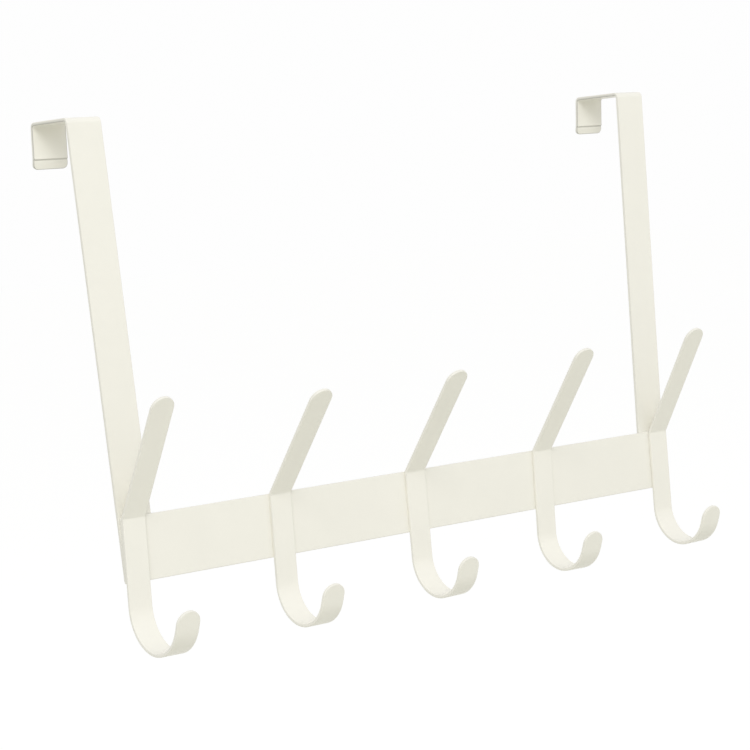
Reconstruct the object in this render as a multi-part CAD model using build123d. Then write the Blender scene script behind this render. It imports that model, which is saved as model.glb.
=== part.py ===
from build123d import *
from typing import NamedTuple
import math
import os

# Over-door coat rack of flat powder-coated steel strip, all sizes in millimetres.
# X runs along the rail, -Y points out of the door towards the room and +Z is up.
# The origin is the front top edge of the door, midway between the two hangers:
# the door's face lies in the plane Y = 0 and its top in the plane Z = 0.

# Steel gauge and edges
STRIP_THICKNESS = 2.0
EDGE_BREAK = 0.35
BEND_INNER_RADIUS = 1.6

# Rail
RAIL_LENGTH = 450.0
RAIL_HEIGHT = 40.0

# Hangers, the strips that go over the door
HANGER_WIDTH = 23.4
DOOR_GAP = 40.0
DROP_TO_RAIL_BOTTOM = 277.5
ARM_END_ABOVE_RAIL_BOTTOM = 0.8
LIP_FLARE = 11.5
LIP_BEND_INNER_RADIUS = 1.0
LIP_CORNER_RADIUS = 3.0

# Hooks
HOOK_WIDTH = 15.8
PRONG_LENGTH = 78.2
PRONG_BEND_INNER_RADIUS = 2.4
PRONG_BEND_BELOW_RAIL_TOP = 1.5
J_STRAIGHT_BELOW_RAIL = 15.7
J_OUTER_RADIUS = 25.0
J_SWEEP = 159.0
J_TIP_LENGTH = 4.4

# Tolerances for telling one kind of edge from another
DIRECTION_TOLERANCE = 1e-6
LENGTH_TOLERANCE = 1e-4


class HangerBend(NamedTuple):
    """How one hanger stands: degrees for the leans and splay, millimetres for the rest."""

    arm_lean: float
    leg_lean: float
    rear_leg: float
    rear_splay: float
    lip: float


class HookBend(NamedTuple):
    """How one hook stands: degrees for the lean and tilt, millimetres for the rest."""

    prong_lean: float
    tilt: float
    shift: float
    j_wider: float
    j_lower: float


# The two hangers are of one pattern, and so are the five hooks, but none is bent
# or set quite like the next. Both lists run from left to right. The arm of the
# left hanger leans outwards from the rail, while the clips of both lie square on
# the door, and a lean is positive where the top is further to the right.
HANGER_BENDS = (
    HangerBend(arm_lean=-2.8, leg_lean=1.4, rear_leg=21.8, rear_splay=0.4, lip=6.2),
    HangerBend(arm_lean=0.5, leg_lean=2.4, rear_leg=20.3, rear_splay=2.5, lip=5.6),
)
HOOK_BENDS = (
    HookBend(prong_lean=32.3, tilt=0.3, shift=0.0, j_wider=2.3, j_lower=-1.5),
    HookBend(prong_lean=40.7, tilt=0.0, shift=-1.2, j_wider=0.5, j_lower=0.6),
    HookBend(prong_lean=40.3, tilt=-0.8, shift=-1.9, j_wider=-0.3, j_lower=1.0),
    HookBend(prong_lean=37.1, tilt=0.8, shift=-0.8, j_wider=-0.9, j_lower=0.8),
    HookBend(prong_lean=32.9, tilt=-0.5, shift=0.0, j_wider=-0.4, j_lower=-1.5),
)

# Planes and heights that follow from the sizes above
ARM_FRONT_Y = -STRIP_THICKNESS
RAIL_FRONT_Y = ARM_FRONT_Y - STRIP_THICKNESS
RAIL_BOTTOM_Z = -DROP_TO_RAIL_BOTTOM
RAIL_MIDDLE_Z = RAIL_BOTTOM_Z + RAIL_HEIGHT / 2


def step_along(point, heading, distance):
    """Point reached from a (y, z) point after a distance along a heading in degrees."""
    turn = math.radians(heading)
    return (point[0] + distance * math.cos(turn), point[1] + distance * math.sin(turn))


def strip_outline(start, heading, moves):
    """Closed side outline of a bent strip, drawn in the (y, z) plane.

    The strip's left-hand face starts at the given point. Every move is either
    ("straight", length) or ("bend", degrees, inner radius), with positive
    degrees turning to the left. Returns the outline, with the end point of the
    left-hand face and the heading there.
    """
    left = start
    right = step_along(start, heading - 90, STRIP_THICKNESS)
    first_left = left
    first_right = right
    left_edges = []
    right_edges = []
    for move in moves:
        if move[0] == "straight":
            next_left = step_along(left, heading, move[1])
            next_right = step_along(right, heading, move[1])
            left_edges.append(Line(left, next_left))
            right_edges.append(Line(right, next_right))
        else:
            degrees = move[1]
            side = 1 if degrees > 0 else -1
            inner = left if side > 0 else right
            centre = step_along(inner, heading + side * 90, move[2])
            near = move[2]
            far = move[2] + STRIP_THICKNESS
            left_radius = near if side > 0 else far
            right_radius = far if side > 0 else near
            middle = heading + degrees / 2 - side * 90
            finish = heading + degrees - side * 90
            next_left = step_along(centre, finish, left_radius)
            next_right = step_along(centre, finish, right_radius)
            left_middle = step_along(centre, middle, left_radius)
            right_middle = step_along(centre, middle, right_radius)
            left_edges.append(ThreePointArc(left, left_middle, next_left))
            right_edges.append(ThreePointArc(right, right_middle, next_right))
            heading = heading + degrees
        left = next_left
        right = next_right
    ends = [Line(first_left, first_right), Line(left, right)]
    return Wire(left_edges + right_edges + ends), left, heading


def extrude_strip(outline, width):
    """Solid strip of a given width, centred on X = 0, from its side outline."""
    side_face = Face(Plane.YZ * outline)
    return extrude(side_face, amount=width / 2, both=True)


def round_end(point, heading, width):
    """Half disc that turns the square end of a strip into a full half round."""
    across = step_along((0, 0), heading - 90, 1)
    plane = Plane(
        origin=(0, point[0], point[1]),
        x_dir=(1, 0, 0),
        z_dir=(0, across[0], across[1]),
    )
    radius = width / 2
    rim = ThreePointArc((radius, 0), (0, -radius), (-radius, 0))
    base = Line((-radius, 0), (radius, 0))
    return extrude(plane * Face(Wire([rim, base])), amount=STRIP_THICKNESS, dir=plane.z_dir)


def is_thickness(length):
    """True for a length equal to the gauge of the strip."""
    return abs(length - STRIP_THICKNESS) < LENGTH_TOLERANCE


def break_edges(strip):
    """Break the sharp edges around both faces of a strip.

    The lines across the strip at the bends and the short seams through its
    thickness are not corners, so they are left alone.
    """
    corners = []
    for edge in strip.edges():
        is_line = edge.geom_type == GeomType.LINE
        off_straight = abs(abs(edge.tangent_at(0).X) - 1)
        across_width = is_line and off_straight < DIRECTION_TOLERANCE
        through_thickness = is_line and is_thickness(edge.length)
        if not across_width and not through_thickness:
            corners.append(edge)
    return chamfer(corners, EDGE_BREAK)


def make_rail():
    """Flat bar across the front of both hangers, with its sharp edges broken."""
    middle = (0, (ARM_FRONT_Y + RAIL_FRONT_Y) / 2, RAIL_MIDDLE_Z)
    bar = Pos(middle) * Box(RAIL_LENGTH, STRIP_THICKNESS, RAIL_HEIGHT)
    front_edges = bar.edges().filter_by_position(Axis.Y, RAIL_FRONT_Y, RAIL_FRONT_Y)
    back_edges = bar.edges().filter_by_position(Axis.Y, ARM_FRONT_Y, ARM_FRONT_Y)
    return chamfer(front_edges + back_edges, EDGE_BREAK)


def make_leaning_run(left, heading, length, lean, centre_x):
    """Straight length of a hanger whose sides lean while its ends stay level.

    The left-hand face starts at a (y, z) point. Returns the solid, with the
    point where that face ends and the X of the middle there.
    """
    middle = step_along(left, heading - 90, STRIP_THICKNESS / 2)
    along = step_along((0, 0), heading, 1)
    section = Plane(
        origin=(centre_x, middle[0], middle[1]),
        x_dir=(1, 0, 0),
        z_dir=(0, along[0], along[1]),
    )
    drift = math.tan(math.radians(lean)) * math.copysign(1, along[1])
    blank = chamfer(Rectangle(HANGER_WIDTH, STRIP_THICKNESS).vertices(), EDGE_BREAK)
    bar = extrude(
        section * blank,
        amount=length * math.hypot(1, drift),
        dir=Vector(drift, along[0], along[1]).normalized(),
    )
    return bar, step_along(left, heading, length), centre_x + drift * length


def make_hanger(bend):
    """Bent strip: arm down the door's face, plate over its top, rear leg and lip."""
    radius = BEND_INNER_RADIUS
    arm_length = DROP_TO_RAIL_BOTTOM - ARM_END_ABOVE_RAIL_BOTTOM
    foot_x = (-arm_length - RAIL_MIDDLE_Z) * math.tan(math.radians(bend.arm_lean))
    foot = (ARM_FRONT_Y, -arm_length)
    arm, point, centre_x = make_leaning_run(foot, 90, arm_length - radius, bend.arm_lean, foot_x)
    outline, point, heading = strip_outline(
        point,
        90,
        [
            ("bend", -90, radius),
            ("straight", DOOR_GAP - 2 * radius),
            ("bend", bend.rear_splay - 90, radius),
        ],
    )
    crown = Pos(centre_x, 0, 0) * break_edges(extrude_strip(outline, HANGER_WIDTH))
    leg_length = bend.rear_leg - radius - STRIP_THICKNESS
    leg, point, centre_x = make_leaning_run(point, heading, leg_length, bend.leg_lean, centre_x)
    outline, end_point, _ = strip_outline(
        point,
        heading,
        [
            ("bend", LIP_FLARE, LIP_BEND_INNER_RADIUS),
            ("straight", bend.lip),
        ],
    )
    lip = extrude_strip(outline, HANGER_WIDTH)
    lip_corners = []
    for edge in lip.edges():
        at_lip_end = abs(edge.center().Z - end_point[1]) < STRIP_THICKNESS
        if is_thickness(edge.length) and at_lip_end:
            lip_corners.append(edge)
    lip = Pos(centre_x, 0, 0) * break_edges(fillet(lip_corners, LIP_CORNER_RADIUS))
    return arm + crown + leg + lip


def make_hook(bend):
    """Double hook: leaning prong, upright on the rail's face and J below it."""
    below_rail = J_STRAIGHT_BELOW_RAIL + bend.j_lower
    upright = RAIL_HEIGHT - PRONG_BEND_BELOW_RAIL_TOP + below_rail
    j_top_z = RAIL_BOTTOM_Z - below_rail
    outline, prong_point, prong_heading = strip_outline(
        (RAIL_FRONT_Y - STRIP_THICKNESS, j_top_z),
        90,
        [
            ("straight", upright),
            ("bend", bend.prong_lean, PRONG_BEND_INNER_RADIUS),
            ("straight", PRONG_LENGTH),
        ],
    )
    prong = extrude_strip(outline, HOOK_WIDTH)
    prong += round_end(prong_point, prong_heading, HOOK_WIDTH)
    j_inner_radius = J_OUTER_RADIUS + bend.j_wider - STRIP_THICKNESS
    j_outline, j_point, j_heading = strip_outline(
        (RAIL_FRONT_Y, j_top_z),
        -90,
        [
            ("bend", -J_SWEEP, j_inner_radius),
            ("straight", J_TIP_LENGTH),
        ],
    )
    lower = extrude_strip(j_outline, HOOK_WIDTH)
    lower += round_end(j_point, j_heading, HOOK_WIDTH)
    return break_edges(prong + lower)


def place_on_rail(strip, index, count, width, shift, tilt):
    """Stand one of a row of strips on the rail, the outer ones flush with its ends.

    The strip turns about the rail's middle height by its own tilt.
    """
    pitch = (RAIL_LENGTH - width) / (count - 1)
    across = (index - (count - 1) / 2) * pitch + shift
    return Pos(across, 0, RAIL_MIDDLE_Z) * Rot(0, tilt, 0) * Pos(0, 0, -RAIL_MIDDLE_Z) * strip


os.makedirs("parts", exist_ok=True)
export_step(make_rail(), "parts/rail.step")

for number, (side, bend) in enumerate(zip(("left", "right"), HANGER_BENDS)):
    hanger = make_hanger(bend)
    placed = place_on_rail(hanger, number, len(HANGER_BENDS), HANGER_WIDTH, 0, 0)
    export_step(placed, f"parts/hanger_{side}.step")

for number, bend in enumerate(HOOK_BENDS):
    hook = make_hook(bend)
    placed = place_on_rail(hook, number, len(HOOK_BENDS), HOOK_WIDTH, bend.shift, bend.tilt)
    export_step(placed, f"parts/hook_{number + 1}.step")
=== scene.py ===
"""Dress the over-door coat rack and set up its studio and camera.

All lengths handed to Blender are in metres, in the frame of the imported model: X runs
along the rail, -Y points out of the door into the room and +Z is up. The sizes of the
rack's own strips are written in millimetres, as on its drawing.
"""

import logging
import math
from collections.abc import Sequence
from dataclasses import dataclass, field
from enum import Enum

import bpy
from mathutils import Matrix, Vector


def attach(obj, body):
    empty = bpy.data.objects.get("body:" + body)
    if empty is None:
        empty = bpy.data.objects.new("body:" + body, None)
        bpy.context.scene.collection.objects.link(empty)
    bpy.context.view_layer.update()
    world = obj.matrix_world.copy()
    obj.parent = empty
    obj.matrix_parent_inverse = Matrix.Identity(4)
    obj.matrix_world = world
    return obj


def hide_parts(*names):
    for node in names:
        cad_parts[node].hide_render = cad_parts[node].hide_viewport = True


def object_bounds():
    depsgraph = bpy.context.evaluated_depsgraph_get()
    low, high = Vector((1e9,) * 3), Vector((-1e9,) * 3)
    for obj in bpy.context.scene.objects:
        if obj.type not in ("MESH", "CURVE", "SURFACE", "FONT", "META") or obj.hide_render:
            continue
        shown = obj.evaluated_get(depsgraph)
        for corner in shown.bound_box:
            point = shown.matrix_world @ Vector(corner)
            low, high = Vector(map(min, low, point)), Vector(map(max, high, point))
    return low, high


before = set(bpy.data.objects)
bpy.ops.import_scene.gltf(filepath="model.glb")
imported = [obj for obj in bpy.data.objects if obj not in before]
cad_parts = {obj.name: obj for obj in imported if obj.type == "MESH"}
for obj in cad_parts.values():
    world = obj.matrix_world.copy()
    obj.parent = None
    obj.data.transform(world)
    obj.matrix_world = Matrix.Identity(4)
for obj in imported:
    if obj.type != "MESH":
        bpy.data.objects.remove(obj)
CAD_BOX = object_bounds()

LOG = logging.getLogger("coat_rack")

MM = 0.001
FRAME_PIXELS = 750
BODY = "root"
# Per point, how much painted shade a piece takes: a fold's groove and a shadow line along lower
# edges.
PAINTED_SHADE_ATTRIBUTE = "fold_mark"

Point2 = tuple[float, float]
Point3 = tuple[float, float, float]


class StripEnd(Enum):
    """How the end of a strip is cut."""

    HALF_ROUND = "half round"
    ROUND_CORNERS = "round corners"
    SHEARED = "sheared"


@dataclass(frozen=True)
class Run:
    """A straight length of strip, in millimetres.

    Attributes:
        length: How long it is.
        drift: How far its middle moves to +X over its length.
    """

    length: float
    drift: float = 0.0


@dataclass(frozen=True)
class Turn:
    """A bend, positive to the left of the way the strip runs, in degrees and millimetres."""

    degrees: float
    inner_radius: float


@dataclass(frozen=True)
class StripPath:
    """The line that the middle of a bent strip follows, as its side view shows it.

    Attributes:
        moves: The runs and turns from one end of the strip to the other.
        heading: Which way the strip runs at its first end, in degrees from +Y.
        anchor: A known point of the line, in millimetres.
        anchor_move: How many moves come before the anchor.
        thickness: The gauge of the strip, in millimetres.
        turn_step: The largest angle between two points of a bend, in degrees.
        run_step: The largest distance between two points of a run, in millimetres.
        fewest_turn_steps: The least number of steps round a bend.
        fewest_run_steps: The least number of steps along a run.
    """

    moves: tuple[Run | Turn, ...]
    heading: float
    anchor: Point3
    anchor_move: int
    thickness: float
    turn_step: float = 3.0
    run_step: float = 9.0
    fewest_turn_steps: int = 3
    fewest_run_steps: int = 2

    def points(self) -> list[Point3]:
        """Walk the moves.

        Returns:
            The points of the line, in millimetres.
        """
        at: Point3 = (0.0, 0.0, 0.0)
        heading = self.heading
        line = [at]
        corners = [at]
        for move in self.moves:
            start = at
            if isinstance(move, Run):
                steps = max(self.fewest_run_steps, math.ceil(move.length / self.run_step))
                for step in range(1, steps + 1):
                    x, y, z = self._ahead(start, heading, move.length * step / steps)
                    at = (x + move.drift * step / steps, y, z)
                    line.append(at)
            else:
                side = math.copysign(1.0, move.degrees)
                radius = move.inner_radius + self.thickness / 2
                centre = self._ahead(start, heading + side * 90, radius)
                steps = max(self.fewest_turn_steps, math.ceil(abs(move.degrees) / self.turn_step))
                start_heading = heading
                for step in range(1, steps + 1):
                    heading = start_heading + move.degrees * step / steps
                    at = self._ahead(centre, heading - side * 90, radius)
                    line.append(at)
            corners.append(at)
        shift = Vector(self.anchor) - Vector(corners[self.anchor_move])
        return [tuple(Vector(point) + shift) for point in line]

    @staticmethod
    def _ahead(point: Point3, heading: float, distance: float) -> Point3:
        """The point at a distance from another along a heading in degrees."""
        turn = math.radians(heading)
        return point[0], point[1] + distance * math.cos(turn), point[2] + distance * math.sin(turn)


def lengths_along(points: Sequence[Point3]) -> list[float]:
    """Measure a line.

    Args:
        points: The points of the line.

    Returns:
        The distance of each point from the first, along the line.
    """
    lengths = [0.0]
    for before, after in zip(points, points[1:]):
        lengths.append(lengths[-1] + math.dist(before, after))
    return lengths


@dataclass(frozen=True)
class PressMarkWithShade:
    """What the press leaves across a strip's lower face at a sharp fold: a crest, then a groove,
    painted dark as its shade.

    Attributes:
        place: How far along the strip the crest lies, in millimetres.
        section: Points of the mark, each with how far it lies past the crest and how far
            the face stands up there, in millimetres.
        dark: From where to where past the crest the groove is painted dark as shade, in millimetres.
        tone: How dark that painted shade lies, as a share of the darkest line.
    """

    place: float
    section: tuple[Point2, ...] = (
        (-1.3, 0.0),
        (-0.4, 0.16),
        (0.0, 0.2),
        (0.3, -0.3),
        (0.7, -0.38),
        (1.1, -0.26),
        (2.0, 0.0),
    )
    dark: Point2 = (0.2, 0.8)
    tone: float = 0.65

    def cuts(self) -> list[float]:
        """Where the strip needs points for the mark."""
        return [self.place + past for past, _ in self.section]

    def rise(self, place: float) -> float:
        """How far the face stands up at a place along the strip."""
        past = place - self.place
        for (start, low), (stop, high) in zip(self.section, self.section[1:]):
            if start <= past <= stop:
                return low + (high - low) * (past - start) / (stop - start)
        return 0.0

    def shade(self, place: float) -> float:
        """How dark the painted shade in the groove lies at a place along the strip."""
        return self.tone if self.dark[0] <= place - self.place <= self.dark[1] else 0.0


@dataclass(frozen=True)
class FlatBlank:
    """A strip as cut, before it is bent, with softly rounded edges under its coat.

    Attributes:
        width: Across the strip, in millimetres.
        thickness: The gauge, in millimetres.
        edge_radius: How far the edges are rounded over, in millimetres.
        ends: How the first and the second end are cut.
        press_mark_with_shade: The mark of a fold across its lower face, with painted shade in its
        groove, if it has one.
        painted_shadow_line_from: From where along the strip, in millimetres, a painted shadow
        line darkens the edges of its lower face, if one does.
        corner_radius: The corners of an end with round corners, in millimetres.
        sheared_radius: The corners of a sheared end, in millimetres.
        edge_steps: How many facets round an edge over.
        corner_steps: How many facets round a corner over.
        half_round_steps: How many facets make half of a half-round end.
        support: How far inside the rounded edge the flat face has its first points, in
            millimetres.
    """

    width: float
    thickness: float
    edge_radius: float
    ends: tuple[StripEnd, StripEnd]
    press_mark_with_shade: PressMarkWithShade | None = None
    painted_shadow_line_from: float = math.inf
    corner_radius: float = 3.0
    sheared_radius: float = 0.6
    edge_steps: int = 3
    corner_steps: int = 5
    half_round_steps: int = 14
    support: float = 0.25

    def end_radius(self, end: StripEnd) -> float:
        """The radius of the corners of one end."""
        return {
            StripEnd.HALF_ROUND: self.width / 2,
            StripEnd.ROUND_CORNERS: self.corner_radius,
            StripEnd.SHEARED: self.sheared_radius,
        }[end]

    def _corner(self, end: StripEnd) -> list[tuple[float, float, float, float]]:
        """One rounded corner of an end.

        Args:
            end: How the end is cut.

        Returns:
            For each point of the corner, from the strip's side towards its end: how far
            it is from the end, its distance from the strip's middle line, and the two
            parts of the outline's normal, along the strip and across it.
        """
        radius = self.end_radius(end)
        half_round = end is StripEnd.HALF_ROUND
        steps = self.half_round_steps if half_round else self.corner_steps
        # A half round has no flat: its last step lies evenly about the middle line.
        last = steps + 0.5 if half_round else steps
        corner = []
        for step in range(steps + 1):
            angle = math.radians(90 * step / last)
            along, across = math.sin(angle), math.cos(angle)
            from_middle = self.width / 2 - radius * (1 - across)
            corner.append((radius * (1 - along), from_middle, along, across))
        return corner

    def half_outline(self, cuts: Sequence[float]) -> list[tuple[float, float, float, float]]:
        """One side of the blank's outline.

        Args:
            cuts: Distances along the strip at which its long side has a point.

        Returns:
            For each point from the first end to the second: its place along the strip,
            its distance from the middle line, and the outline's normal.
        """
        length = cuts[-1]
        first, second = self.ends
        outline = [(s, x, -along, across) for s, x, along, across in reversed(self._corner(first))]
        low = self.end_radius(first) + self.support
        high = length - self.end_radius(second) - self.support
        outline += [(cut, self.width / 2, 0.0, 1.0) for cut in cuts if low < cut < high]
        outline += [(length - s, x, along, across) for s, x, along, across in self._corner(second)]
        return outline

    def profile(self) -> list[Point2]:
        """The rounded edge in section.

        Returns:
            The (inset, height) of each ring of points, from the upper face to the lower.
        """
        radius = self.edge_radius
        middle = self.thickness / 2 - radius
        steps = self.edge_steps
        quarter = [math.radians(90 * step / steps) for step in reversed(range(steps + 1))]
        upper = [(radius * (1 - math.cos(a)), middle + radius * math.sin(a)) for a in quarter]
        upper.insert(0, (radius + self.support, self.thickness / 2))
        return upper + [(inset, -height) for inset, height in reversed(upper)]

    def painted_shadow_line(self, inset: float, height: float) -> float:
        """How dark the painted shadow line along the lower edges leaves a point of the section.

        Args:
            inset: How far the point lies inside the strip's side.
            height: Its height from the middle of the gauge.

        Returns:
            Half on the side, one half round the lower edge and nought on the faces.
        """
        if height > 0 or inset >= self.edge_radius:
            return 0.0
        turned = math.acos(1 - inset / self.edge_radius)
        return (1 + math.sin(2 * turned)) / 2

    def mesh(self, name: str, cuts: Sequence[float]) -> bpy.types.Mesh:
        """Make the blank as a closed mesh: X across it, Y along it, Z through it.

        Args:
            name: The mesh's name.
            cuts: Distances along the strip at which its long sides have a point.

        Returns:
            The mesh, in metres.
        """
        mark = self.press_mark_with_shade
        mark_cuts = mark.cuts() if mark else []
        side = self.half_outline(sorted([*cuts, *mark_cuts]))
        count = len(side)
        loop = side + [(s, -x, along, -across) for s, x, along, across in reversed(side)]
        vertices, shades = [], []
        for inset, height in self.profile():
            for s, x, along, across in loop:
                marked = mark is not None and height < 0
                down = height - mark.rise(s) if marked else height
                vertices.append(Vector((x - inset * across, s - inset * along, down)) * MM)
                # Painted shade: a shadow line along the lower edges past a place, and the dark groove
                # of a fold.
                painted_shadow_line = self.painted_shadow_line(inset, height) if s > self.painted_shadow_line_from else 0.0
                shades.append(max(painted_shadow_line, mark.shade(s) if marked else 0.0))
        around = len(loop)
        rings = len(vertices) // around
        faces = []
        for ring in range(rings - 1):
            upper, lower = ring * around, (ring + 1) * around
            for here in range(around):
                there = (here + 1) % around
                faces.append((upper + here, lower + here, lower + there, upper + there))
        bottom = (rings - 1) * around
        for here in range(count - 1):
            opposite = around - 1 - here
            faces.append((here, here + 1, opposite - 1, opposite))
            faces.append((bottom + opposite, bottom + opposite - 1, bottom + here + 1, bottom + here))
        made = bpy.data.meshes.new(name)
        made.from_pydata(vertices, [], faces)
        made.attributes.new(PAINTED_SHADE_ATTRIBUTE, "FLOAT", "POINT").data.foreach_set("value", shades)
        made.update()
        return made


@dataclass(frozen=True)
class PowderCoat:
    """A satin powder coat, with the fine orange peel and slight mottling of a baked one,
    and painted shade over its edges and in marked places.

    Attributes:
        colour: The coat's linear colour.
        roughness: How matt it is.
        roughness_wander: How much less and how much more matt it is in places.
        gloss_size: The size of those places, in metres.
        peel_size: From one orange-peel bump to the next, in metres.
        peel_height: How high the bumps stand, in metres.
        grain_size: The size of the fine grain, in metres.
        grain_height: How high the grain stands, in metres.
        mottle: How far the coat's tone wanders, as a share of its colour.
        mottle_size: The size of the places of one tone, in metres.
        noise_span: The part of a noise pattern's values that is spread out.
        edge_span: From a flat face to a sharp edge, as Pointiness tells them apart.
        painted_edge_shade: How much painted shade darkens the coat over its rounded edges.
        painted_shade_tone: How much painted shade darkens it at most, in the groove of a fold and
        along the shadow line of a lower edge.
    """

    colour: tuple[float, float, float]
    roughness: float = 0.42
    roughness_wander: Point2 = (0.03, 0.04)
    gloss_size: float = 0.008
    peel_size: float = 0.0016
    peel_height: float = 0.000012
    grain_size: float = 0.00035
    grain_height: float = 0.0000024
    mottle: float = 0.008
    mottle_size: float = 0.03
    noise_span: Point2 = (0.3, 0.7)
    edge_span: Point2 = (0.5, 0.62)
    painted_edge_shade: float = 0.1
    painted_shade_tone: float = 0.46

    def make(self, name: str) -> bpy.types.Material:
        """Build the material.

        Args:
            name: The material's name.

        Returns:
            The material, with all its texture on Object coordinates.
        """
        material = bpy.data.materials.new(name)
        material.use_nodes = True
        nodes, links = material.node_tree.nodes, material.node_tree.links
        shader = nodes["Principled BSDF"]
        shader.inputs["Metallic"].default_value = 0.0
        shader.inputs["IOR"].default_value = 1.5
        place = nodes.new("ShaderNodeTexCoord").outputs["Object"]

        def noise(size: float, detail: float) -> bpy.types.NodeSocket:
            """A noise pattern of a given size on the piece."""
            node = nodes.new("ShaderNodeTexNoise")
            node.inputs["Scale"].default_value = 1.0 / size
            node.inputs["Detail"].default_value = detail
            links.new(place, node.inputs["Vector"])
            return node.outputs["Fac"]

        def spread(value: bpy.types.NodeSocket, span: Point2, ends: Point2) -> bpy.types.NodeSocket:
            """A value from a span mapped onto two ends."""
            node = nodes.new("ShaderNodeMapRange")
            for name, limit in zip(("From Min", "From Max", "To Min", "To Max"), (*span, *ends)):
                node.inputs[name].default_value = limit
            links.new(value, node.inputs["Value"])
            return node.outputs["Result"]

        cloud_noise = noise(self.mottle_size, 3.0)
        cloud = spread(cloud_noise, self.noise_span, (1 - self.mottle, 1 + self.mottle))
        # Painted shade: the coat is darkened over rounded edges, where Pointiness is high.
        pointiness = nodes.new("ShaderNodeNewGeometry").outputs["Pointiness"]
        edge = spread(pointiness, self.edge_span, (1.0, 1.0 - self.painted_edge_shade))
        # Painted shade from the mesh: the groove of a fold and the shadow line along lower edges.
        mark = nodes.new("ShaderNodeAttribute")
        mark.attribute_name = PAINTED_SHADE_ATTRIBUTE
        marked = spread(mark.outputs["Fac"], (0.0, 1.0), (1.0, 1.0 - self.painted_shade_tone))
        tone = cloud
        for other in (edge, marked):
            product = nodes.new("ShaderNodeMath")
            product.operation = "MULTIPLY"
            links.new(tone, product.inputs[0])
            links.new(other, product.inputs[1])
            tone = product.outputs[0]
        colour = nodes.new("ShaderNodeVectorMath")
        colour.operation = "SCALE"
        colour.inputs[0].default_value = self.colour
        links.new(tone, colour.inputs["Scale"])
        links.new(colour.outputs["Vector"], shader.inputs["Base Color"])
        less, more = self.roughness_wander
        ends = (self.roughness - less, self.roughness + more)
        gloss = spread(noise(self.gloss_size, 2.0), self.noise_span, ends)
        links.new(gloss, shader.inputs["Roughness"])

        normal = None
        bumps = ((self.peel_size, self.peel_height), (self.grain_size, self.grain_height))
        for size, height in bumps:
            bump = nodes.new("ShaderNodeBump")
            bump.inputs["Strength"].default_value = 1.0
            bump.inputs["Distance"].default_value = height
            links.new(noise(size, 1.0), bump.inputs["Height"])
            if normal is not None:
                links.new(normal, bump.inputs["Normal"])
            normal = bump.outputs["Normal"]
        links.new(normal, shader.inputs["Normal"])
        return material


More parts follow.
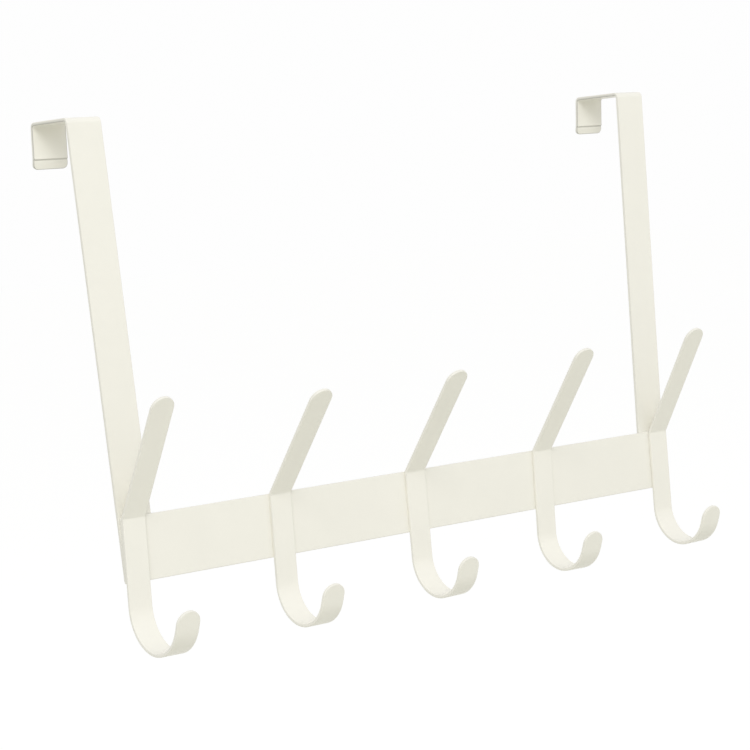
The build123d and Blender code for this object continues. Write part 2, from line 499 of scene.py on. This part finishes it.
@dataclass
class PressBrake:
    """Bends flat blanks round their paths with one Geometry Nodes tree.

    The tree's inputs are the path, how far across the rail the strip stands, the height
    that it turns about, its tilt in the plane of the rail, and its finish.
    """

    tree: bpy.types.NodeTree = field(init=False)
    sockets: dict[str, str] = field(init=False, default_factory=dict)

    def __post_init__(self) -> None:
        """Build the tree."""
        self.tree = bpy.data.node_groups.new("press_brake", "GeometryNodeTree")
        face = self.tree.interface
        face.new_socket("Blank", in_out="INPUT", socket_type="NodeSocketGeometry")
        for name, kind in (
            ("Path", "NodeSocketObject"),
            ("Across", "NodeSocketFloat"),
            ("Turn Height", "NodeSocketFloat"),
            ("Tilt", "NodeSocketFloat"),
            ("Finish", "NodeSocketMaterial"),
        ):
            self.sockets[name] = face.new_socket(name, in_out="INPUT", socket_type=kind).identifier
        face.new_socket("Strip", in_out="OUTPUT", socket_type="NodeSocketGeometry")
        self._fill()

    def _node(self, kind: str, **settings: object) -> bpy.types.Node:
        """Add a node and set its properties."""
        node = self.tree.nodes.new(kind)
        for name, value in settings.items():
            setattr(node, name, value)
        return node

    def _math(
        self, operation: str, first: bpy.types.NodeSocket, second: bpy.types.NodeSocket
    ) -> bpy.types.NodeSocket:
        """Join two vectors with a Vector Math node."""
        node = self._node("ShaderNodeVectorMath", operation=operation)
        self.tree.links.new(first, node.inputs[0])
        self.tree.links.new(second, node.inputs[1])
        return node.outputs["Vector"]

    def _fill(self) -> None:
        """Add the nodes that wrap the blank, stand it in its place and finish it."""
        link = self.tree.links.new
        given = self._node("NodeGroupInput").outputs
        info = self._node("GeometryNodeObjectInfo", transform_space="ORIGINAL")
        link(given["Path"], info.inputs["Object"])
        flat = self._node("ShaderNodeSeparateXYZ")
        link(self._node("GeometryNodeInputPosition").outputs["Position"], flat.inputs["Vector"])
        sample = self._node("GeometryNodeSampleCurve", mode="LENGTH")
        link(info.outputs["Geometry"], sample.inputs["Curves"])
        link(flat.outputs["Y"], sample.inputs["Length"])

        across = self._node("ShaderNodeCombineXYZ")
        link(flat.outputs["X"], across.inputs["X"])
        rightwards = self._node("ShaderNodeCombineXYZ")
        rightwards.inputs["X"].default_value = 1.0
        outward = self._math("CROSS_PRODUCT", rightwards.outputs["Vector"], sample.outputs["Tangent"])
        square = self._node("ShaderNodeVectorMath", operation="NORMALIZE")
        link(outward, square.inputs[0])
        through = self._node("ShaderNodeVectorMath", operation="SCALE")
        link(square.outputs["Vector"], through.inputs[0])
        link(flat.outputs["Z"], through.inputs["Scale"])
        side = self._math("ADD", across.outputs["Vector"], through.outputs["Vector"])
        wrap = self._node("GeometryNodeSetPosition")
        link(given["Blank"], wrap.inputs["Geometry"])
        link(self._math("ADD", sample.outputs["Position"], side), wrap.inputs["Position"])

        place = self._node("ShaderNodeCombineXYZ")
        link(given["Across"], place.inputs["X"])
        link(given["Turn Height"], place.inputs["Z"])
        pivot = self._node("ShaderNodeCombineXYZ")
        link(given["Turn Height"], pivot.inputs["Z"])
        zero = self._node("ShaderNodeCombineXYZ")
        lowered = self._node("GeometryNodeTransform")
        link(wrap.outputs["Geometry"], lowered.inputs["Geometry"])
        down = self._math("SUBTRACT", zero.outputs["Vector"], pivot.outputs["Vector"])
        link(down, lowered.inputs["Translation"])
        tilt = self._node("ShaderNodeCombineXYZ")
        link(given["Tilt"], tilt.inputs["Y"])
        stood = self._node("GeometryNodeTransform")
        link(lowered.outputs["Geometry"], stood.inputs["Geometry"])
        link(place.outputs["Vector"], stood.inputs["Translation"])
        link(tilt.outputs["Vector"], stood.inputs["Rotation"])

        real = self._node("GeometryNodeRealizeInstances")
        link(stood.outputs["Geometry"], real.inputs["Geometry"])
        finish = self._node("GeometryNodeSetMaterial")
        link(real.outputs["Geometry"], finish.inputs["Geometry"])
        link(given["Finish"], finish.inputs["Material"])
        link(finish.outputs["Geometry"], self._node("NodeGroupOutput").inputs["Strip"])

    def bend(
        self,
        name: str,
        blank: FlatBlank,
        path: StripPath,
        across: float,
        turn_height: float,
        tilt: float,
        finish: bpy.types.Material,
    ) -> bpy.types.Object:
        """Bend one blank and stand it on the rail.

        Args:
            name: The name of the finished piece.
            blank: The flat strip.
            path: The line that its middle follows.
            across: Where it stands along the rail, in millimetres.
            turn_height: The height that it tilts about, in millimetres.
            tilt: How far its top leans to the right, in degrees.
            finish: Its material.

        Returns:
            The piece, as a plain mesh at the origin.
        """
        points = path.points()
        curve = bpy.data.curves.new(name + "_path", "CURVE")
        curve.dimensions = "3D"
        spline = curve.splines.new("POLY")
        spline.points.add(len(points) - 1)
        for target, point in zip(spline.points, points):
            target.co = (*(Vector(point) * MM), 1.0)
        guide = link_object(curve.name, curve)
        worked = link_object(name + "_blank", blank.mesh(name + "_blank", lengths_along(points)))
        modifier = worked.modifiers.new("bend", "NODES")
        modifier.node_group = self.tree
        modifier[self.sockets["Path"]] = guide
        modifier[self.sockets["Across"]] = across * MM
        modifier[self.sockets["Turn Height"]] = turn_height * MM
        modifier[self.sockets["Tilt"]] = math.radians(tilt)
        modifier[self.sockets["Finish"]] = finish
        bpy.context.view_layer.update()
        graph = bpy.context.evaluated_depsgraph_get()
        mesh = bpy.data.meshes.new_from_object(worked.evaluated_get(graph))
        for helper in (worked, guide):
            bpy.data.objects.remove(helper)
        return finished_piece(name, mesh, finish)


def link_object(name: str, data: bpy.types.ID | None) -> bpy.types.Object:
    """Make an object of some data and link it to the scene."""
    made = bpy.data.objects.new(name, data)
    bpy.context.scene.collection.objects.link(made)
    return made


def finished_piece(name: str, mesh: bpy.types.Mesh, finish: bpy.types.Material) -> bpy.types.Object:
    """Make a smooth-shaded piece of a mesh that already lies in its place."""
    mesh.name = name
    mesh.materials.clear()
    mesh.materials.append(finish)
    mesh.shade_smooth()
    return link_object(name, mesh)


@dataclass(frozen=True)
class SteelStrip:
    """What every strip of the rack shares, in millimetres."""

    thickness: float = 2.0
    edge_radius: float = 0.35
    rail_length: float = 450.0
    rail_height: float = 40.0
    drop_to_rail_bottom: float = 277.5

    @property
    def rail_bottom(self) -> float:
        """The height of the rail's lower edge."""
        return -self.drop_to_rail_bottom

    @property
    def rail_top(self) -> float:
        """The height of the rail's upper edge."""
        return self.rail_bottom + self.rail_height

    @property
    def rail_middle(self) -> float:
        """The height that the strips are set square about."""
        return self.rail_bottom + self.rail_height / 2

    @property
    def rail_front(self) -> float:
        """The Y of the rail's front face, two thicknesses off the door."""
        return -2 * self.thickness


@dataclass
class Rail:
    """The flat bar that carries the hooks.

    Attributes:
        steel: What it shares with the other strips.
        point_spacing: From one point of its long sides to the next, in millimetres.
    """

    steel: SteelStrip
    point_spacing: float = 10.0

    def build(self, finish: bpy.types.Material) -> bpy.types.Object:
        """Make the rail, standing on its lower edge in front of the hangers."""
        steel = self.steel
        blank = FlatBlank(
            width=steel.rail_height,
            thickness=steel.thickness,
            edge_radius=steel.edge_radius,
            ends=(StripEnd.SHEARED, StripEnd.SHEARED),
        )
        steps = round(steel.rail_length / self.point_spacing)
        cuts = [steel.rail_length * step / steps for step in range(steps + 1)]
        mesh = blank.mesh("rail_coated", cuts)
        # Across the blank becomes up, along it becomes +X and through it becomes +Y.
        upright = Matrix(((0, 1, 0), (0, 0, 1), (1, 0, 0))).to_4x4()
        middle_y = steel.rail_front + steel.thickness / 2
        left_end = Vector((-steel.rail_length / 2, middle_y, steel.rail_middle))
        mesh.transform(Matrix.Translation(left_end * MM) @ upright)
        return finished_piece("rail_coated", mesh, finish)


@dataclass
class Hanger:
    """One of the two strips that go over the door, with a clip that sits square on it.

    Attributes:
        node: The solid that it stands for.
        across: Where its foot stands along the rail, in millimetres.
        arm_lean: How far the top of the arm leans to the right, in degrees.
        leg_lean: How far the top of the rear leg leans to the right, in degrees.
        rear_leg: From the top of the door down to the lip's bend, in millimetres.
        rear_splay: How far the rear leg opens away from the door, in degrees.
        lip: The length of the flared lip, in millimetres.
    """

    steel: SteelStrip
    node: str
    across: float
    arm_lean: float
    leg_lean: float
    rear_leg: float
    rear_splay: float
    lip: float
    width: float = 23.4
    door_gap: float = 40.0
    bend_radius: float = 1.6
    lip_flare: float = 11.5
    lip_radius: float = 1.0
    arm_end_above_rail_bottom: float = 0.8

    def path(self) -> StripPath:
        """The line up the door, over its top and down behind it."""
        steel, bend = self.steel, self.bend_radius
        arm = steel.drop_to_rail_bottom - self.arm_end_above_rail_bottom
        leg = self.rear_leg - bend - steel.thickness
        slope = math.tan(math.radians(self.arm_lean))
        leg_slope = math.tan(math.radians(self.leg_lean))
        return StripPath(
            moves=(
                Run(arm - bend, drift=(arm - bend) * slope),
                Turn(-90, bend),
                Run(self.door_gap - 2 * bend),
                Turn(self.rear_splay - 90, bend),
                Run(leg, drift=-leg * leg_slope),
                Turn(self.lip_flare, self.lip_radius),
                Run(self.lip),
            ),
            heading=90,
            anchor=(-(arm + steel.rail_middle) * slope, -steel.thickness / 2, -arm),
            anchor_move=0,
            thickness=steel.thickness,
        )

    def build(self, brake: PressBrake, finish: bpy.types.Material) -> bpy.types.Object:
        """Bend the hanger and set it against the rail."""
        path, steel = self.path(), self.steel
        fold = math.radians(self.lip_flare) * (self.lip_radius + steel.thickness / 2)
        blank = FlatBlank(
            width=self.width,
            thickness=steel.thickness,
            edge_radius=steel.edge_radius,
            ends=(StripEnd.SHEARED, StripEnd.ROUND_CORNERS),
            # The lip's groove and the lower edges past the arm get painted shade.
            press_mark_with_shade=PressMarkWithShade(lengths_along(path.points())[-1] - self.lip - fold / 2),
            painted_shadow_line_from=steel.drop_to_rail_bottom - self.arm_end_above_rail_bottom,
        )
        name = self.node + "_coated"
        return brake.bend(name, blank, path, self.across, steel.rail_middle, 0.0, finish)


@dataclass
class DoubleHook:
    """A hook with a leaning prong above the rail and a J below it.

    Attributes:
        node: The solid that it stands for.
        across: Where it stands along the rail, in millimetres.
        prong_lean: How far the prong leans into the room, in degrees.
        tilt: How far the hook's top leans to the right, in degrees.
        j_wider: How much wider its J is bent than the pattern, in millimetres.
        j_lower: How much lower its J starts, in millimetres.
    """

    steel: SteelStrip
    node: str
    across: float
    prong_lean: float
    tilt: float
    j_wider: float
    j_lower: float
    width: float = 15.8
    # The prong and the J stay a hair inside their solid, with its chamfered ends and its facets.
    prong_length: float = 78.05
    prong_radius: float = 2.4
    prong_bend_below_rail_top: float = 1.5
    j_straight_below_rail: float = 15.7
    j_outer_radius: float = 24.99
    j_sweep: float = 159.0
    j_tip: float = 4.4

    def path(self) -> StripPath:
        """The line from the prong's tip down the rail's face and round the J."""
        gauge = self.steel.thickness
        below = self.j_straight_below_rail + self.j_lower
        upright = self.steel.rail_height - self.prong_bend_below_rail_top + below
        bend_z = self.steel.rail_top - self.prong_bend_below_rail_top
        return StripPath(
            moves=(
                Run(self.width / 2 + self.prong_length),
                Turn(-self.prong_lean, self.prong_radius),
                Run(upright),
                Turn(-self.j_sweep, self.j_outer_radius + self.j_wider - gauge),
                Run(self.j_tip + self.width / 2),
            ),
            heading=self.prong_lean - 90,
            anchor=(0.0, self.steel.rail_front - gauge / 2, bend_z),
            anchor_move=2,
            thickness=gauge,
        )

    def build(self, brake: PressBrake, finish: bpy.types.Material) -> bpy.types.Object:
        """Bend the hook and set it on the rail's face."""
        blank = FlatBlank(
            width=self.width,
            thickness=self.steel.thickness,
            edge_radius=self.steel.edge_radius,
            ends=(StripEnd.HALF_ROUND, StripEnd.HALF_ROUND),
        )
        name = self.node + "_coated"
        middle = self.steel.rail_middle
        return brake.bend(name, blank, self.path(), self.across, middle, self.tilt, finish)


@dataclass
class CoatRack:
    """The whole rack: a rail, two hangers and five double hooks."""

    steel: SteelStrip = field(default_factory=SteelStrip)
    coat: PowderCoat = PowderCoat(colour=(0.885, 0.868, 0.797))
    # Lean of the arm and of the rear leg, rear leg, splay and lip, from left to right.
    hanger_bends: tuple[tuple[float, float, float, float, float], ...] = (
        (-2.8, 1.4, 21.8, 0.4, 6.2),
        (0.5, 2.4, 20.3, 2.5, 5.6),
    )
    # Lean of the prong, tilt, shift along the rail, and how much wider and lower the J is.
    hook_bends: tuple[tuple[float, float, float, float, float], ...] = (
        (32.3, 0.3, 0.0, 2.3, -1.5),
        (40.7, 0.0, -1.2, 0.5, 0.6),
        (40.3, -0.8, -1.9, -0.3, 1.0),
        (37.1, 0.8, -0.8, -0.9, 0.8),
        (32.9, -0.5, 0.0, -0.4, -1.5),
    )

    def _across(self, index: int, count: int, width: float) -> float:
        """Where one of a row of strips stands, the outer ones flush with the rail's ends."""
        return (index - (count - 1) / 2) * (self.steel.rail_length - width) / (count - 1)

    def build(self) -> list[bpy.types.Object]:
        """Build every piece, let it ride on the rack's body and stand for its solid.

        Returns:
            The pieces.
        """
        finish = self.coat.make("off_white_powder_coat")
        brake = PressBrake()
        made = {"rail": Rail(self.steel).build(finish)}
        for index, bend in enumerate(self.hanger_bends):
            node = "hanger_" + ("left", "right")[index]
            across = self._across(index, len(self.hanger_bends), Hanger.width)
            hanger = Hanger(self.steel, node, across, *bend)
            made[node] = hanger.build(brake, finish)
        for index, (lean, tilt, shift, wider, lower) in enumerate(self.hook_bends):
            node = f"hook_{index + 1}"
            across = self._across(index, len(self.hook_bends), DoubleHook.width) + shift
            hook = DoubleHook(self.steel, node, across, lean, tilt, wider, lower)
            made[node] = hook.build(brake, finish)
        for node, piece in made.items():
            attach(piece, BODY)
            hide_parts(node)
            faces = len(piece.data.polygons)
            LOG.info("%s stands for %s with %d faces", piece.name, node, faces)
        return list(made.values())


@dataclass(frozen=True)
class PhotoCamera:
    """The photograph's camera, worked out from the rack's own edges.

    Attributes:
        place: Where it stands, in metres.
        yaw: How far it looks to the right of +Y, in degrees.
        pitch: How far it looks down, in degrees.
        roll: How far it is turned clockwise, in degrees.
        focal_pixels: Its focal length in pixels of the photograph.
        sensor: The width of its sensor, in millimetres.
        clip: The nearest and the farthest that it sees, in metres.
    """

    place: tuple[float, float, float] = (-0.938131, -1.218983, -0.062406)
    yaw: float = 36.8469
    pitch: float = 4.1368
    roll: float = 4.4175
    focal_pixels: float = 2359.29
    sensor: float = 36.0
    clip: Point2 = (0.05, 60.0)

    def make(self) -> bpy.types.Object:
        """Set the camera up and make it the scene's."""
        yaw, pitch, roll = (math.radians(angle) for angle in (self.yaw, self.pitch, self.roll))
        level = math.cos(pitch)
        ahead = Vector((math.sin(yaw) * level, math.cos(yaw) * level, -math.sin(pitch)))
        right = Vector((math.cos(yaw), -math.sin(yaw), 0.0))
        down = ahead.cross(right)
        rolled_right = right * math.cos(roll) + down * math.sin(roll)
        rolled_down = down * math.cos(roll) - right * math.sin(roll)
        turn = Matrix((rolled_right, -rolled_down, -ahead)).transposed().to_4x4()
        data = bpy.data.cameras.new("photo_camera")
        data.sensor_width = self.sensor
        data.lens = self.focal_pixels * self.sensor / FRAME_PIXELS
        data.clip_start, data.clip_end = self.clip
        camera = link_object("photo_camera", data)
        camera.matrix_world = Matrix.Translation(self.place) @ turn
        bpy.context.scene.camera = camera
        return camera


@dataclass(frozen=True)
class SoftBox:
    """A large soft lamp that faces the rack.

    Attributes:
        name: What it is called.
        place: Where it stands, in metres.
        size: Its width and height, in metres.
        watts: Its power.
        colour: Its linear colour.
    """

    name: str
    place: tuple[float, float, float]
    size: tuple[float, float]
    watts: float
    colour: tuple[float, float, float] = (1.0, 1.0, 1.0)

    def make(self, target: Vector) -> bpy.types.Object:
        """Hang the lamp so that it faces the target."""
        data = bpy.data.lights.new(self.name, "AREA")
        data.shape = "RECTANGLE"
        data.size, data.size_y = self.size
        data.energy = self.watts
        data.color = self.colour
        lamp = link_object(self.name, data)
        lamp.location = self.place
        lamp.rotation_euler = (target - lamp.location).to_track_quat("-Z", "Y").to_euler()
        return lamp


@dataclass(frozen=True)
class Studio:
    """A pale floor, an even white surround and soft lamps.

    Attributes:
        floor_drop: How far the floor lies below the rack, in metres.
        floor_size: The floor's width, in metres.
        floor_colour: The floor's linear colour, as the camera sees it.
        floor_glow: Its warmer linear colour, as its light reaches the rack from below.
        floor_cloud: How many soft clouds the floor's tone has to the metre.
        floor_mottle: How far its tone wanders, as a share of its colour.
        surround: How strongly the surround lights the rack.
        backdrop: How bright the surround looks to the camera.
        shade_share: The share of the light on the floor, and so of its shade, that shows.
        floor_lift: What the floor adds to that, so that it looks as white as the surround.
        lamps: The soft lamps.
    """

    floor_drop: float = 0.6
    floor_size: float = 60.0
    floor_colour: tuple[float, float, float] = (0.8, 0.8, 0.79)
    floor_glow: tuple[float, float, float] = (0.8, 0.8, 0.725)
    floor_cloud: float = 2.0
    floor_mottle: float = 0.01
    surround: float = 0.645
    backdrop: float = 0.99
    shade_share: float = 0.4
    floor_lift: float = 0.784
    lamps: tuple[SoftBox, ...] = (
        SoftBox("key_softbox", (-1.8, -2.61, 2.28), (2.2, 2.2), 65.0),
        SoftBox("side_softbox", (-3.0, -2.01, 1.44), (2.2, 2.2), 3.0),
        SoftBox("fill_softbox", (2.6, -2.81, 1.04), (2.2, 2.2), 11.0),
    )

    def make(self) -> None:
        """Set up the floor, the surround and the lamps."""
        low, high = CAD_BOX
        self._floor(low.z - self.floor_drop)
        self._surround()
        for lamp in self.lamps:
            lamp.make((low + high) / 2)
        view = bpy.context.scene.view_settings
        view.view_transform = "Standard"

    @staticmethod
    def _seen(tree: bpy.types.NodeTree) -> bpy.types.NodeSocket:
        """One for what the camera sees, straight or in gloss or glass, and zero for light."""
        path = tree.nodes.new("ShaderNodeLightPath")
        total = path.outputs["Is Camera Ray"]
        for name in ("Is Glossy Ray", "Is Transmission Ray"):
            add = tree.nodes.new("ShaderNodeMath")
            add.operation = "ADD"
            add.use_clamp = True
            tree.links.new(total, add.inputs[0])
            tree.links.new(path.outputs[name], add.inputs[1])
            total = add.outputs[0]
        return total

    def _surround(self) -> None:
        """Light the rack evenly and look white to the camera."""
        world = bpy.data.worlds.new("white_surround")
        bpy.context.scene.world = world
        world.use_nodes = True
        tree = world.node_tree
        tree.nodes.clear()
        shades = []
        for strength in (self.surround, self.backdrop):
            shade = tree.nodes.new("ShaderNodeBackground")
            shade.inputs["Color"].default_value = (1.0, 1.0, 1.0, 1.0)
            shade.inputs["Strength"].default_value = strength
            shades.append(shade.outputs["Background"])
        mix = tree.nodes.new("ShaderNodeMixShader")
        tree.links.new(self._seen(tree), mix.inputs["Fac"])
        tree.links.new(shades[0], mix.inputs[1])
        tree.links.new(shades[1], mix.inputs[2])
        output = tree.nodes.new("ShaderNodeOutputWorld")
        tree.links.new(mix.outputs["Shader"], output.inputs["Surface"])

    def _floor(self, height: float) -> None:
        """Lay the floor at a height."""
        half = self.floor_size / 2
        mesh = bpy.data.meshes.new("studio_floor")
        corners = ((-half, -half), (half, -half), (half, half), (-half, half))
        mesh.from_pydata([(x, y, height) for x, y in corners], [], [(0, 1, 2, 3)])
        mesh.materials.append(self._floor_material())
        link_object("studio_floor", mesh)

    def _floor_material(self) -> bpy.types.Material:
        """Paint the floor, which looks white to the camera and still takes the shade.

        Returns:
            The material.
        """
        material = bpy.data.materials.new("pale_floor")
        material.use_nodes = True
        tree = material.node_tree
        link = tree.links.new
        tree.nodes.clear()
        place = tree.nodes.new("ShaderNodeTexCoord")
        noise = tree.nodes.new("ShaderNodeTexNoise")
        noise.inputs["Scale"].default_value = self.floor_cloud
        link(place.outputs["Object"], noise.inputs["Vector"])
        paints = []
        for share, painted in ((1.0, self.floor_glow), (self.shade_share, self.floor_colour)):
            tone = tree.nodes.new("ShaderNodeMapRange")
            tone.inputs["To Min"].default_value = (1 - self.floor_mottle) * share
            tone.inputs["To Max"].default_value = (1 + self.floor_mottle) * share
            link(noise.outputs["Fac"], tone.inputs["Value"])
            colour = tree.nodes.new("ShaderNodeVectorMath")
            colour.operation = "SCALE"
            colour.inputs[0].default_value = painted
            link(tone.outputs["Result"], colour.inputs["Scale"])
            paint = tree.nodes.new("ShaderNodeBsdfDiffuse")
            link(colour.outputs["Vector"], paint.inputs["Color"])
            paints.append(paint.outputs["BSDF"])
        lift = tree.nodes.new("ShaderNodeEmission")
        lift.inputs["Strength"].default_value = self.floor_lift
        shown = tree.nodes.new("ShaderNodeAddShader")
        link(paints[1], shown.inputs[0])
        link(lift.outputs["Emission"], shown.inputs[1])
        mix = tree.nodes.new("ShaderNodeMixShader")
        link(self._seen(tree), mix.inputs["Fac"])
        link(paints[0], mix.inputs[1])
        link(shown.outputs["Shader"], mix.inputs[2])
        output = tree.nodes.new("ShaderNodeOutputMaterial")
        link(mix.outputs["Shader"], output.inputs["Surface"])
        return material


def main() -> None:
    """Build the camera, the rack and its studio, in that order."""
    logging.basicConfig(level=logging.INFO, format="%(name)s: %(message)s")
    PhotoCamera().make()
    pieces = CoatRack().build()
    Studio().make()
    LOG.info("%d pieces made", len(pieces))


if __name__ == "__main__":
    main()
